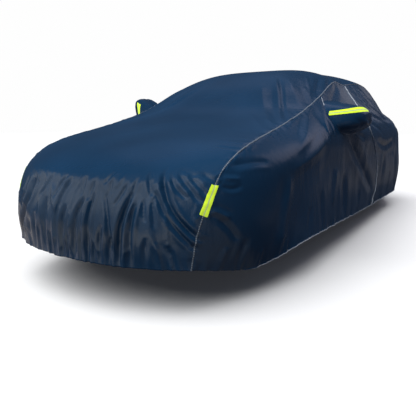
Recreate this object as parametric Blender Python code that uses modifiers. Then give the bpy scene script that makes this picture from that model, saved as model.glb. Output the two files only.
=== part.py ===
"""Fitted cover for a saloon car, as it hangs, with the car left out.

Metres, +Z up. The cover's front faces -Y and its left side is +X. The tables below are measured
from the front of the bumper (y = 0) and from the ground (z = 0). The finished part has its origin
under the roof cloth, at HANG_POINT.

The cloth is worked out as one net: a top that runs from hem to hem over bonnet, roof and boot, and
two sides that hang from its edges. The net is smoothed over the seams, creased, and then cut into
the panels that are sewn together, a small gap apart.
"""

import bpy
import numpy as np

# ---------------------------------------------------------------- driving sizes
SHEET = 0.002            # thickness that stands for the coated cloth with its hem
TAPE = 0.001             # thickness of seam tape and of reflective strip
GAP = 0.00035            # clearance between a panel and the tape on it
SEAM_GAP = 0.0008        # clearance between two panels, under the tape
POCKET_GAP = 0.0020      # wider round the mirror pocket, whose rim turns outwards
SEAM_TAPE_WIDTH = 0.010
STRIP_WIDTH = 0.045
RAISED_SHARE = 0.4       # share of a strip's width that is raised where it passes over a seam
CORNER_SHARE = 0.8       # share of the thickness that a panel is cut back by at a right angle
BENT_CLEAR = 0.0005      # extra clearance under tape, because the cloth bends there
HANG_POINT = (0.0, 2.45, 1.4135)

# Stations along the cover, one row for each change of slope. mid_*: the panel's middle. seam_*: the
# seam at its left edge. crown: how square the section is (2 is a parabola, more is flatter).
#   name            mid_y  mid_z  seam_x seam_y seam_z crown
STATIONS = (
    ("front_hem",   -0.030, 0.260, 0.672, 0.178, 0.250, 2.4),
    ("bumper",      -0.030, 0.460, 0.701, 0.193, 0.435, 2.6),
    ("lamp",         0.030, 0.620, 0.729, 0.246, 0.585, 2.8),
    ("bonnet_edge",  0.120, 0.730, 0.745, 0.355, 0.730, 2.8),
    ("bonnet_front", 0.450, 0.845, 0.748, 0.568, 0.838, 2.6),
    ("bonnet_rear",  1.000, 0.960, 0.730, 1.080, 0.950, 2.6),
    ("cowl",         1.320, 1.050, 0.722, 1.430, 1.040, 3.0),
    ("gusset_front", 1.640, 1.235, 0.722, 1.740, 1.146, 4.0),
    ("screen_top",   2.080, 1.380, 0.660, 2.200, 1.275, 4.0),
    ("upright",      2.660, 1.418, 0.595, 2.680, 1.285, 3.0),
    ("roof_rear",    3.220, 1.415, 0.605, 3.220, 1.320, 2.8),
    ("rear_screen",  3.700, 1.280, 0.625, 3.680, 1.200, 2.6),
    ("boot_front",   4.050, 1.105, 0.670, 4.000, 1.055, 2.4),
    ("boot_rear",    4.450, 1.010, 0.700, 4.360, 0.965, 2.6),
    ("rear_lamp",    4.620, 0.840, 0.740, 4.490, 0.820, 2.8),
    ("rear_bumper",  4.660, 0.500, 0.748, 4.500, 0.500, 2.6),
    ("rear_hem",     4.600, 0.220, 0.690, 4.440, 0.220, 2.4),
)
FIRST_SIDE = 3           # station where the side's front edge meets its top edge
LAST_SIDE = 13           # station where its top edge meets its rear edge
POCKET_FRONT = 7         # station of the seam in front of the mirror pocket
UPRIGHT = 9              # station of the upright seam behind it

# The side's lines at the stations between, from the seam down to the hem.
#   name            shoulder x,y,z       waist x,y    sill x,y     hem x,y,z
SIDE_LINES = (
    ("bonnet_front", 0.835, 0.550, 0.710, 0.865, 0.550, 0.855, 0.550, 0.820, 0.560, 0.190),
    ("bonnet_rear",  0.887, 1.060, 0.810, 0.906, 1.040, 0.916, 1.030, 0.926, 1.030, 0.255),
    ("cowl",         0.895, 1.390, 0.870, 0.914, 1.390, 0.921, 1.390, 0.927, 1.390, 0.248),
    ("gusset_front", 0.898, 1.500, 0.900, 0.918, 1.700, 0.924, 1.740, 0.925, 1.750, 0.240),
    ("screen_top",   0.900, 2.020, 0.930, 0.920, 2.180, 0.923, 2.230, 0.916, 2.230, 0.222),
    ("upright",      0.900, 2.420, 0.935, 0.921, 2.705, 0.920, 2.780, 0.903, 2.720, 0.207),
    ("roof_rear",    0.885, 3.140, 0.925, 0.915, 3.200, 0.915, 3.220, 0.890, 3.200, 0.200),
    ("rear_screen",  0.865, 3.650, 0.905, 0.904, 3.650, 0.908, 3.650, 0.878, 3.650, 0.190),
    ("boot_front",   0.830, 3.980, 0.870, 0.878, 3.970, 0.885, 3.970, 0.860, 3.970, 0.190),
)
WAIST_LEVEL = 0.62       # heights between hem (0) and shoulder (1)
SILL_LEVEL = 0.27

# Troughs that run down the front, drawn in by the hem's elastic, from low end to high end.
#   x_low  z_low  x_high z_high depth  half_width
FRONT_FOLDS = (
    (-0.470, 0.250, -0.310, 0.640, 0.022, 0.045),
    (-0.175, 0.260, -0.165, 0.600, 0.014, 0.035),
    (-0.015, 0.260, -0.025, 0.640, 0.015, 0.035),
    (0.185, 0.260, 0.180, 0.610, 0.016, 0.035),
    (0.358, 0.260, 0.360, 0.650, 0.020, 0.035),
    (0.640, 0.440, 0.500, 0.740, 0.022, 0.035),
)
REAR_FOLDS = (
    (-0.560, 0.250, -0.460, 0.700, 0.018, 0.050),
    (-0.260, 0.230, -0.230, 0.620, 0.014, 0.040),
    (0.030, 0.230, 0.010, 0.560, 0.013, 0.040),
    (0.290, 0.230, 0.250, 0.640, 0.016, 0.040),
    (0.570, 0.250, 0.480, 0.690, 0.018, 0.050),
)
# Troughs and, with a depth below zero, ridges on the sides.
#   y_one  z_one  y_two  z_two  depth  half_width
SIDE_FOLDS = (
    (1.700, 0.870, 2.640, 0.360, 0.016, 0.070),
    (0.770, 0.640, 0.790, 0.260, -0.012, 0.060),
    (1.760, 0.620, 1.800, 0.240, 0.012, 0.070),
    (3.050, 0.640, 3.000, 0.220, 0.012, 0.080),
    (3.600, 0.700, 3.720, 0.220, 0.012, 0.080),
)

FOLD_MIDDLE = 0.45       # share of a fold's length at which it is deepest
FOLD_FADE = 1.25         # above 1, so the fold keeps its depth until near its ends
SEAM_EASE = 0.15         # how far the seam is drawn towards the cloth beside it

# A fold belongs to the front, rear or a side. It fades where the cloth turns away from that side:
# its depth is multiplied by gain x (how far the cloth faces that side) - loss, from 0 to 1.
#              gain  loss
FACING_ENDS = (1.5, 0.2)
FACING_SIDES = (1.5, 0.4)

# Mirror pocket: the ear that stands out of the cloth between the two short seams.
POCKET_BOTTOM = 3        # net lines from the long seam down to the pocket's lower edge
# The ear's middle, the x it reaches out to, how far it is lifted (the right ear has turned up), and
# its size from its middle to the front, rear, top and bottom.
#         y      z      out    lift   front  rear   top    bottom
POCKETS = {
    "left":  (1.870, 0.985, 1.050, 0.000, 0.270, 0.270, 0.122, 0.110),
    "right": (1.790, 1.020, 1.045, 0.100, 0.240, 0.250, 0.085, 0.120),
}
EAR_SQUARE = 3.0         # how square the ear's outline is (2 is an ellipse)
BROW_START = (1.570, 1.028)        # y, z of the pocket strip's upper edge at its front end
BROW_RISE = 0.09                   # height it gains for each metre towards the rear
BROW_HEIGHT = 0.040                # height that the strip takes up on the ear's face

# Net sizes: intervals down a side (also down front and rear), along the top edge and across.
DOWN = 10
ALONG = 20
ACROSS = 24
PER_STATION = ALONG // (LAST_SIDE - FIRST_SIDE)
POCKET_ROWS = (PER_STATION * (POCKET_FRONT - FIRST_SIDE), PER_STATION * (UPRIGHT - FIRST_SIDE))
TAPE_LIFT = SHEET / 2 + GAP + TAPE / 2 + BENT_CLEAR

# The pocket's finer net. Its rows are counted in the side's own lines from the front seam. Down a
# row, 0 is the long seam, 1 and 2 are the reflective strip's edges and 3 is the lower edge.
POCKET_STEPS = (0, 0.06, 0.18, 0.32, 0.5, 0.75, 1, 1.3, 1.65, 2, 2.5, 3, 3.5, 4)
POCKET_LINES = (0, 0.4, 0.75, 1, 2, 2.25, 2.5, 2.75, 3)
POCKET_END_LINES = (0, 0.35, 0.7, 1, 1.35, 1.7, 2, 2.5, 3)     # on its seams, in the side's lines
LEFT_STRIP = (slice(1, 9), slice(3, 5))        # runs round the ear
RIGHT_STRIP = (slice(2, 4), slice(2, 7))       # this ear has turned, and the strip stands upright

# Tapes run from one line to another, with fractions between lines.
FRONT_STRIPS = {"left": (5.2, 8.3), "right": (5.5, 8.5)}       # along the long seam, from the hem
UPRIGHT_TAPE = (0.12, DOWN)
# The short seam's tape, on the pocket's finer net, and its extra clearance over the ear's foot.
#               from  to   clearance
GUSSET_TAPES = {
    "left":  (0.4, 1.6, 0.0010),
    "right": (0.4, 2.0, 0.0),
}

NAVY = (0.007, 0.034, 0.085, 1.0)
GREY = (0.250, 0.290, 0.340, 1.0)
YELLOW = (0.700, 1.000, 0.040, 1.0)


# ---------------------------------------------------------------- surfaces
def curve_through(rows, at):
    """Smooth curve (Catmull-Rom) through the rows of a table, read at row numbers `at`."""
    rows = np.asarray(rows, dtype=float)
    last = len(rows) - 1
    at = np.clip(np.asarray(at, dtype=float), 0, last)
    low = np.minimum(at.astype(int), last - 1)
    t = (at - low).reshape(at.shape + (1,) * (rows.ndim - 1))
    padded = np.concatenate([2 * rows[:1] - rows[1:2], rows, 2 * rows[-1:] - rows[-2:-1]])
    before, here, there, after = (padded[low + k] for k in range(4))
    bend = 2 * before - 5 * here + 4 * there - after
    twist = 3 * (here - there) + after - before
    return here + 0.5 * t * ((there - before) + t * (bend + t * twist))


def top_surface(station, across):
    """Point of the top panel: across is -1 at the right seam, 0 in the middle, 1 at the left."""
    table = curve_through([row[1:] for row in STATIONS], station)
    mid_y, mid_z, seam_x, seam_y, seam_z, crown = np.moveaxis(table, -1, 0)
    fall = np.abs(across) ** crown
    y = mid_y + (seam_y - mid_y) * fall
    z = mid_z + (seam_z - mid_z) * fall
    return np.stack([seam_x * across, y, z], -1)


def side_surface(stations, front_edge, top_edge, rear_edge):
    """Net of the left side: each line runs from the long seam down to the hem."""
    down = np.linspace(0, 4, DOWN + 1)
    lines = [front_edge]
    for row in SIDE_LINES:
        shoulder_x, shoulder_y, shoulder_z, waist_x, waist_y, sill_x, sill_y = row[1:8]
        hem_x, hem_y, hem_z = row[8:]
        fall = shoulder_z - hem_z
        seam = top_surface(np.array(FIRST_SIDE + len(lines)), np.array(1.0))
        posts = [
            seam,
            (shoulder_x, shoulder_y, shoulder_z),
            (waist_x, waist_y, hem_z + WAIST_LEVEL * fall),
            (sill_x, sill_y, hem_z + SILL_LEVEL * fall),
            (hem_x, hem_y, hem_z),
        ]
        lines.append(curve_through(posts, down))
    lines.append(rear_edge)
    net = curve_through(lines, stations - FIRST_SIDE)
    share = np.linspace(1, 0, DOWN + 1)[None, :, None]
    net += share * (top_edge - net[:, 0])[:, None]
    net[0], net[-1] = front_edge, rear_edge
    return net


def crease(plane, folds):
    """Depth of the folds at points given in a flat view of the cloth. A fold is a soft trough
    along a straight line, deepest in its middle and fading to its ends."""
    depth = np.zeros(plane.shape[:-1])
    for one_u, one_v, two_u, two_v, deep, half in folds:
        start, end = np.array([one_u, one_v]), np.array([two_u, two_v])
        run = end - start
        along = ((plane - start) @ run) / (run @ run)
        off = np.linalg.norm(plane - start - along[..., None] * run, axis=-1)
        fade = np.clip(FOLD_FADE - np.abs(2 * (along - FOLD_MIDDLE)) ** 3, 0, 1)
        depth += deep * fade * np.exp(-((off / half) ** 2))
    return depth


def facing(towards, gain_and_loss):
    """Share of a fold's depth where the cloth faces its side by `towards` (a cosine)."""
    gain, loss = gain_and_loss
    return np.clip(gain * towards - loss, 0, 1)


def net_normals(net):
    """Outward unit normals of a net whose rows run along +station and columns right to left."""
    normal = np.cross(np.gradient(net, axis=1), np.gradient(net, axis=0))
    return normal / np.linalg.norm(normal, axis=-1, keepdims=True)


def seam_on_side():
    """Where each point of the long seam, front hem to rear hem, lies in a side's net."""
    order = np.arange(2 * DOWN + ALONG + 1)
    row = np.clip(order - DOWN, 0, ALONG)
    column = np.maximum(np.maximum(DOWN - order, order - DOWN - ALONG), 0)
    return row, column


def beside_seam(side):
    """The side's points one line in from the long seam, in the seam's order."""
    row, column = seam_on_side()
    return side[np.clip(row, 1, ALONG - 1), np.maximum(column, 1)]


def cover_nets():
    """Top, left and right nets, sharing their seams, eased at them and creased."""
    first = np.linspace(0, FIRST_SIDE, DOWN + 1)
    middle = np.linspace(FIRST_SIDE, LAST_SIDE, ALONG + 1)
    final = np.linspace(LAST_SIDE, len(STATIONS) - 1, DOWN + 1)
    stations = np.concatenate([first, middle[1:], final[1:]])
    top = top_surface(*np.meshgrid(stations, np.linspace(-1, 1, ACROSS + 1), indexing="ij"))
    seam = top[:, -1]
    left = side_surface(middle, seam[DOWN::-1], seam[DOWN:DOWN + ALONG + 1], seam[DOWN + ALONG:])

    seam += SEAM_EASE * ((beside_seam(left) + top[:, -2]) / 2 - seam)
    top[:, 0] = seam * (-1, 1, 1)
    left[seam_on_side()] = seam
    nets = {"top": top, "left": left, "right": left * (-1, 1, 1)}

    normals = {name: net_normals(net) for name, net in nets.items()}
    normals["right"] *= -1
    for name, column in (("left", -1), ("right", 0)):
        shared = normals["top"][:, column] + normals[name][seam_on_side()]
        shared /= np.linalg.norm(shared, axis=-1, keepdims=True)
        normals["top"][:, column] = shared
        normals[name][seam_on_side()] = shared
    for name, net in nets.items():
        normal = normals[name]
        ahead = facing(-normal[..., 1], FACING_ENDS)
        behind = facing(normal[..., 1], FACING_ENDS)
        aside = facing(np.abs(normal[..., 0]), FACING_SIDES)
        depth = ahead * crease(net[..., (0, 2)], FRONT_FOLDS)
        depth += behind * crease(net[..., (0, 2)], REAR_FOLDS)
        depth += aside * crease(net[..., (1, 2)], SIDE_FOLDS)
        nets[name] = net - depth[..., None] * normal
    return nets


# ---------------------------------------------------------------- pieces
def unit(vectors):
    """The vectors at a length of one."""
    return vectors / np.linalg.norm(vectors, axis=-1, keepdims=True)


def cut_back(line, one_side, other_side):
    """How far a panel stops from a seam: half the gap, and more the sharper the cloth bends there,
    which is CORNER_SHARE of its thickness at a right angle."""
    one, other = unit(one_side - line), unit(other_side - line)
    bend = np.linalg.norm(one + other, axis=-1) / np.linalg.norm(one - other, axis=-1)
    return SEAM_GAP / 2 + CORNER_SHARE * SHEET * bend


def draw_in(net, axis, rim, by):
    """Move one outer line of a net inwards, along the lines that cross it."""
    net = net.copy()
    view = net.swapaxes(0, axis)
    inner = 1 if rim == 0 else -2
    view[rim] += np.reshape(by, (-1, 1)) * unit(view[inner] - view[rim])
    return net


def tape_net(line, one_side, other_side, half_width, lift, rise=0.0):
    """Tape laid over a line of the cloth, whose neighbouring lines are given.

    Each half lies `lift` above the cloth on its own side, and `rise` more along the middle where it
    passes over a seam. Seen from the line's start, other_side is on the left of one_side."""
    out = unit(np.cross(np.gradient(line, axis=0), other_side - one_side))
    left_half, right_half, middle = [], [], []
    for half, neighbour in ((left_half, one_side), (right_half, other_side)):
        across = unit(neighbour - line)
        above = unit(out - (out * across).sum(-1, keepdims=True) * across)
        if rise:
            half.append(line + RAISED_SHARE * half_width * across + (lift + rise) * above)
        half.append(line + half_width * across + lift * above)
        middle.append((out * above).sum(-1, keepdims=True))
    top = line + (lift + rise) * out / np.minimum(*middle)
    return np.stack(left_half[::-1] + [top] + right_half, 1)


def at_lines(net, places):
    """The net's points at line numbers that may lie between two lines."""
    places = np.asarray(places, dtype=float)
    low = np.minimum(places.astype(int), len(net) - 2)
    part = (places - low).reshape((-1,) + (1,) * (net.ndim - 1))
    return net[low] * (1 - part) + net[low + 1] * part


def between(net, start, stop):
    """The net's lines from one line number to another, where the two may lie between lines."""
    inner = np.arange(np.floor(start) + 1, np.ceil(stop))
    return at_lines(net, np.concatenate([[start], inner, [stop]]))


def pocket_net(panel, size):
    """The piece between the two short seams, with the ear standing out.

    The ear's reach is a blunt dome over a rounded rectangle (a superellipse) about its middle."""
    middle_y, middle_z, out, lift, front, rear, top, bottom = size
    net = []
    for row in at_lines(panel[POCKET_ROWS[0]:, :POCKET_BOTTOM + 1], POCKET_STEPS):
        brow = BROW_START[1] + BROW_RISE * (row[1, 1] - BROW_START[0])
        edges = np.interp((-brow, BROW_HEIGHT - brow), -row[:, 2], np.arange(len(row)))
        net.append(at_lines(row, np.interp(POCKET_LINES, range(4), (0, *edges, POCKET_BOTTOM))))
    net[0] = at_lines(panel[POCKET_ROWS[0]], POCKET_END_LINES)
    net[-1] = at_lines(panel[POCKET_ROWS[1]], POCKET_END_LINES)
    net = np.array(net)
    off_y = net[..., 1] - middle_y
    off_z = net[..., 2] - middle_z
    half_y = np.where(off_y < 0, front, rear)
    half_z = np.where(off_z < 0, bottom, top)
    ring = np.abs(off_y / half_y) ** EAR_SQUARE + np.abs(off_z / half_z) ** EAR_SQUARE
    dome = 1 - np.clip(ring, 0, 1)
    dome[[0, -1]] = 0
    dome[:, [0, -1]] = 0
    side = np.sign(net[..., 0])
    net[..., 0] += dome * (out * side - net[..., 0])
    net[..., 2] += dome * lift
    return net


def material(name, colour, roughness):
    """Plain Principled material."""
    made = bpy.data.materials.new(name)
    made.use_nodes = True
    shader = made.node_tree.nodes["Principled BSDF"]
    shader.inputs["Base Color"].default_value = colour
    shader.inputs["Roughness"].default_value = roughness
    return made


def sheet_object(name, net, thickness, finish, turned, hole=None):
    """One sewn piece: a net given its thickness equally to both sides. The hole is a rectangle of
    the net's cells that is left out. Every cell is halved the same way, so nets laid over each
    other stay parallel."""
    rows, columns = net.shape[:2]
    corner = np.arange(rows * columns).reshape(rows, columns)
    quads = np.stack([corner[:-1, :-1], corner[1:, :-1], corner[1:, 1:], corner[:-1, 1:]], -1)
    keep = np.ones(quads.shape[:2], dtype=bool)
    if hole:
        keep[hole] = False
    quads = quads[keep]
    halves = np.concatenate([quads[:, (0, 1, 2)], quads[:, (0, 2, 3)]])
    if turned:
        halves = halves[:, ::-1]
    used, numbers = np.unique(halves, return_inverse=True)
    points = net.reshape(-1, 3)[used] - HANG_POINT
    mesh = bpy.data.meshes.new(name)
    mesh.from_pydata(points.tolist(), [], numbers.reshape(halves.shape).tolist())
    mesh.shade_smooth()
    mesh.materials.append(finish)
    piece = bpy.data.objects.new(name, mesh)
    body = piece.modifiers.new("thickness", "SOLIDIFY")
    body.thickness = thickness
    body.offset = 0.0
    bpy.data.collections["car_cover"].objects.link(piece)


# ---------------------------------------------------------------- the cover
def build_side(name, nets, cloth, tape, reflective):
    """Everything sewn to one side of the top panel."""
    side, top = nets[name], nets["top"]
    left = name == "left"
    seam, above = top[:, -1 if left else 0], top[:, -2 if left else 1]
    below = beside_seam(side)
    by = cut_back(seam, above, below)
    panel = draw_in(side, 0, 0, by[DOWN::-1])
    panel = draw_in(panel, 0, -1, by[DOWN + ALONG:])
    panel = draw_in(panel, 1, 0, by[DOWN:DOWN + ALONG + 1])

    front_row, upright_row = POCKET_ROWS
    upright, ahead, behind = (side[upright_row + step] for step in (0, -1, 1))
    by = cut_back(upright, ahead, behind)
    front = draw_in(panel[:upright_row + 1], 0, -1, by)
    rear = draw_in(panel[upright_row:], 0, 0, by)
    hole = (slice(front_row, upright_row), slice(0, POCKET_BOTTOM))
    sheet_object("side_front_" + name, front, SHEET, cloth, left, hole)
    sheet_object("side_rear_" + name, rear, SHEET, cloth, left)

    pocket = pocket_net(panel, POCKETS[name])
    cut_pocket = pocket
    for axis, rim in ((0, 0), (0, -1), (1, 0), (1, -1)):
        cut_pocket = draw_in(cut_pocket, axis, rim, POCKET_GAP)
    sheet_object("mirror_pocket_" + name, cut_pocket, SHEET, cloth, left)

    def tape_object(title, finish, line, inner, outer, span, half_width, lift, rise=0.0):
        parts = [between(points, *span) for points in (line, inner, outer)]
        if not left:
            parts = [parts[0], parts[2], parts[1]]
        net = tape_net(*parts, half_width, lift, rise)
        sheet_object(title + name, net, TAPE, finish, True)

    hem_to_hem = (0, len(seam) - 1)
    half_tape = SEAM_TAPE_WIDTH / 2
    tape_object("seam_long_", tape, seam, below, above, hem_to_hem, half_tape, TAPE_LIFT)
    tape_object("strip_front_", reflective, seam, below, above, FRONT_STRIPS[name],
                STRIP_WIDTH / 2, TAPE_LIFT, TAPE + GAP)

    tape_object("seam_upright_", tape, upright, ahead, behind, UPRIGHT_TAPE, half_tape, TAPE_LIFT)
    ahead_of_pocket = pocket[0] + side[front_row - 1, 1] - side[front_row, 1]
    start, stop, clearance = GUSSET_TAPES[name]
    tape_object("seam_gusset_", tape, pocket[0], ahead_of_pocket, pocket[1], (start, stop),
                half_tape, TAPE_LIFT + clearance)
    out = net_normals(pocket) * (1 if left else -1)
    rows, columns = LEFT_STRIP if left else RIGHT_STRIP
    strip = pocket[rows, columns] + TAPE_LIFT * out[rows, columns]
    sheet_object("strip_pocket_" + name, strip, TAPE, reflective, left)


def build():
    for thing in list(bpy.data.objects):
        bpy.data.objects.remove(thing, do_unlink=True)
    bpy.context.scene.collection.children.link(bpy.data.collections.new("car_cover"))
    cloth = material("navy_taffeta", NAVY, 0.42)
    tape = material("grey_binding", GREY, 0.60)
    reflective = material("yellow_reflective_tape", YELLOW, 0.35)
    nets = cover_nets()
    top = panel = nets["top"]
    for name, rim, inner in (("left", -1, -2), ("right", 0, 1)):
        by = cut_back(top[:, rim], top[:, inner], beside_seam(nets[name]))
        panel = draw_in(panel, 1, rim, by)
    sheet_object("top_panel", panel, SHEET, cloth, False)
    for name in ("left", "right"):
        build_side(name, nets, cloth, tape, reflective)


build()
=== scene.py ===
"""Fitted outdoor cover for a saloon, as it hangs. Tables are in metres from the front of the bumper
(y = 0) and from the ground (z = 0). Every mesh is moved by HANG_POINT into the part's own frame."""

import bpy
import numpy as np
from mathutils import Matrix


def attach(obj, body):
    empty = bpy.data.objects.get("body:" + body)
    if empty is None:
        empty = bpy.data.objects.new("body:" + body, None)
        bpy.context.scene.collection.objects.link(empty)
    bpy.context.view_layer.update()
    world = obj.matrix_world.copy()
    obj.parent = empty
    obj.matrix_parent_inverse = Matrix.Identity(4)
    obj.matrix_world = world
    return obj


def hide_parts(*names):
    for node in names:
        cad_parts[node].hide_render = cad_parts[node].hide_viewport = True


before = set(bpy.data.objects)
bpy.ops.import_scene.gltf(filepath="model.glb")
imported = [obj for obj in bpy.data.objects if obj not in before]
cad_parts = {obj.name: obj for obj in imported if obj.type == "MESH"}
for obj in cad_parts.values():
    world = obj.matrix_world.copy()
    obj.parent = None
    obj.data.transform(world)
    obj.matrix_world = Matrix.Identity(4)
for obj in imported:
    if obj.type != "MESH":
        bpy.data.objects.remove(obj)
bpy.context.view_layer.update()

# ---------------------------------------------------------------- the body of the cover
# The cloth before it is cut: coated polyester taffeta that lies on bonnet, roof and boot and hangs
# down the sides. One top net runs from hem to hem, and a side net hangs from each of its edges.
HANG_POINT = np.array((0.0, 2.45, 1.4135))

# Rows of the top net, one for each change of slope: its middle, its left seam, and how square the
# section is (2 is a parabola, more is flatter).
#   mid_y  mid_z  seam_x seam_y seam_z crown
STATIONS = (
    (-0.030, 0.260, 0.672, 0.178, 0.250, 2.4),
    (-0.030, 0.460, 0.701, 0.193, 0.435, 2.6),
    (0.030, 0.620, 0.729, 0.246, 0.585, 2.8),
    (0.120, 0.730, 0.745, 0.355, 0.730, 2.8),
    (0.450, 0.845, 0.748, 0.568, 0.838, 2.6),
    (1.000, 0.960, 0.730, 1.080, 0.950, 2.6),
    (1.320, 1.050, 0.722, 1.430, 1.040, 3.0),
    (1.640, 1.235, 0.722, 1.740, 1.146, 4.0),
    (2.080, 1.380, 0.660, 2.200, 1.275, 4.0),
    (2.660, 1.418, 0.595, 2.680, 1.285, 3.0),
    (3.220, 1.415, 0.605, 3.220, 1.320, 2.8),
    (3.700, 1.280, 0.625, 3.680, 1.200, 2.6),
    (4.050, 1.105, 0.670, 4.000, 1.055, 2.4),
    (4.450, 1.010, 0.700, 4.360, 0.965, 2.6),
    (4.620, 0.840, 0.740, 4.490, 0.820, 2.8),
    (4.660, 0.500, 0.748, 4.500, 0.500, 2.6),
    (4.600, 0.220, 0.690, 4.440, 0.220, 2.4),
)
# The side's lines between, each from the seam down to the hem.
#   shoulder x,y,z       waist x,y    sill x,y     hem x,y,z
SIDE_LINES = (
    (0.835, 0.550, 0.710, 0.865, 0.550, 0.855, 0.550, 0.820, 0.560, 0.190),
    (0.887, 1.060, 0.810, 0.906, 1.040, 0.916, 1.030, 0.926, 1.030, 0.255),
    (0.895, 1.390, 0.870, 0.914, 1.390, 0.921, 1.390, 0.927, 1.390, 0.248),
    (0.898, 1.500, 0.900, 0.918, 1.700, 0.924, 1.740, 0.925, 1.750, 0.240),
    (0.900, 2.020, 0.930, 0.920, 2.180, 0.923, 2.230, 0.916, 2.230, 0.222),
    (0.900, 2.420, 0.935, 0.921, 2.705, 0.920, 2.780, 0.903, 2.720, 0.207),
    (0.885, 3.140, 0.925, 0.915, 3.200, 0.915, 3.220, 0.890, 3.200, 0.200),
    (0.865, 3.650, 0.905, 0.904, 3.650, 0.908, 3.650, 0.878, 3.650, 0.190),
    (0.830, 3.980, 0.870, 0.878, 3.970, 0.885, 3.970, 0.860, 3.970, 0.190),
)
WAIST_LEVEL = 0.62       # heights between hem (0) and shoulder (1)
SILL_LEVEL = 0.27
FIRST_SIDE = 3           # station where the side's front edge meets its top edge
LAST_SIDE = 13           # station where its top edge meets its rear edge
DOWN = 100                                              # cells down the front, rear and sides
CELLS = (36, 36, 24, 22, 26, 26, 42, 24, 16, 16)        # from each of the side's stations to the next
ACROSS = 208
ALONG = sum(CELLS)
POCKET_ROWS = (sum(CELLS[:4]), sum(CELLS[:6]))          # the seams before and behind the pocket
POCKET_DEPTH = 30                                       # cells from the long seam down


def curve_through(rows, at):
    """Catmull-Rom curve through the rows of a table, read at row numbers."""
    rows = np.asarray(rows, float)
    at = np.clip(np.asarray(at, float), 0, len(rows) - 1)
    low = np.minimum(at.astype(int), len(rows) - 2)
    t = (at - low).reshape(at.shape + (1,) * (rows.ndim - 1))
    padded = np.concatenate([2 * rows[:1] - rows[1:2], rows, 2 * rows[-1:] - rows[-2:-1]])
    before, here, there, after = (padded[low + k] for k in range(4))
    bend = 2 * before - 5 * here + 4 * there - after
    twist = 3 * (here - there) + after - before
    return here + 0.5 * t * ((there - before) + t * (bend + t * twist))


def top_surface(station, across):
    """Middle line + (seam - middle line) * |across| ** crown, for across from -1 to 1."""
    mid_y, mid_z, seam_x, seam_y, seam_z, crown = np.moveaxis(curve_through(STATIONS, station), -1, 0)
    fall = np.abs(across) ** crown
    return np.stack([seam_x * across, mid_y + (seam_y - mid_y) * fall,
                     mid_z + (seam_z - mid_z) * fall], -1)


def side_surface(stations, front_edge, top_edge, rear_edge):
    """Curves through each line's posts from seam to hem, and curves through those lines."""
    lines = [front_edge]
    for number, row in enumerate(SIDE_LINES):
        fall = row[2] - row[9]
        posts = [top_surface(np.array(FIRST_SIDE + 1.0 + number), np.array(1.0)), row[:3],
                 (row[3], row[4], row[9] + WAIST_LEVEL * fall),
                 (row[5], row[6], row[9] + SILL_LEVEL * fall), row[7:]]
        lines.append(curve_through(posts, np.linspace(0, len(posts) - 1, DOWN + 1)))
    net = curve_through(lines + [rear_edge], stations - FIRST_SIDE)
    net += np.linspace(1, 0, DOWN + 1)[None, :, None] * (top_edge - net[:, 0])[:, None]
    net[0], net[-1] = front_edge, rear_edge
    return net


def unit(vectors):
    """The vectors at a length of one."""
    return vectors / np.linalg.norm(vectors, axis=-1, keepdims=True)


def net_normals(net, turned=1):
    """Unit normals: the cross product of the net's two directions."""
    return turned * unit(np.cross(np.gradient(net, axis=1), np.gradient(net, axis=0)))


def lengths(net, axis):
    """Distance of each point from the net's first line, measured along the lines that cross it."""
    steps = np.linalg.norm(np.diff(net, axis=axis), axis=-1)
    return np.concatenate([np.zeros_like(np.take(steps, [0], axis)), np.cumsum(steps, axis)], axis)


stations = [np.linspace(0, FIRST_SIDE, DOWN + 1)]
stations += [np.linspace(k, k + 1, cells + 1)[1:] for k, cells in enumerate(CELLS, FIRST_SIDE)]
stations += [np.linspace(LAST_SIDE, len(STATIONS) - 1, DOWN + 1)[1:]]
stations = np.concatenate(stations)
top = top_surface(*np.meshgrid(stations, np.linspace(-1, 1, ACROSS + 1), indexing="ij"))
seam = top[:, -1].copy()
side = side_surface(stations[DOWN:DOWN + ALONG + 1], seam[DOWN::-1], seam[DOWN:DOWN + ALONG + 1],
                    seam[DOWN + ALONG:])

# The long seam, front hem to rear hem, as rows and columns of the side's net.
order = np.arange(2 * DOWN + ALONG + 1)
SEAM_ON_SIDE = (np.clip(order - DOWN, 0, ALONG),
                np.maximum(np.maximum(DOWN - order, order - DOWN - ALONG), 0))

# The cloth rounds the seams' corners: it moves by width * t * t along the sum of the two panels'
# directions, where t falls from a half at the seam to nothing at the width.
ROUNDING = 0.030
BESIDE_TOP, BESIDE_SIDE = 3, 2      # lines away from the seam at which those directions are taken
beside = side[np.clip(SEAM_ON_SIDE[0], BESIDE_SIDE, ALONG - BESIDE_SIDE),
              np.maximum(SEAM_ON_SIDE[1], BESIDE_SIDE)]
pull = unit(top[:, -1 - BESIDE_TOP] - seam) + unit(beside - seam)


def rounded(distance):
    """How far the cloth moves for each metre of pull, at a distance from the seam."""
    return (ROUNDING * np.clip((1 - distance / ROUNDING) / 2, 0, 1) ** 2)[..., None]


from_seam = lengths(top[:, ::-1], 1)[:, ::-1]
top += rounded(from_seam) * pull[:, None]
top += rounded(from_seam[:, ::-1]) * pull[:, None] * (-1, 1, 1)
from_top = lengths(side, 1)
from_front = lengths(side, 0)
from_rear = lengths(side[::-1], 0)[::-1]
nearest = np.argmin([from_top, from_front, from_rear], 0)
pulls = np.choose(nearest[..., None], [np.broadcast_to(pull[DOWN:DOWN + ALONG + 1, None], side.shape),
                                       np.broadcast_to(pull[DOWN::-1][None], side.shape),
                                       np.broadcast_to(pull[DOWN + ALONG:][None], side.shape)])
from_edge = np.minimum(np.minimum(from_top, from_front), from_rear)
side += rounded(from_edge) * pulls
side[SEAM_ON_SIDE] = top[:, -1]

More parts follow.
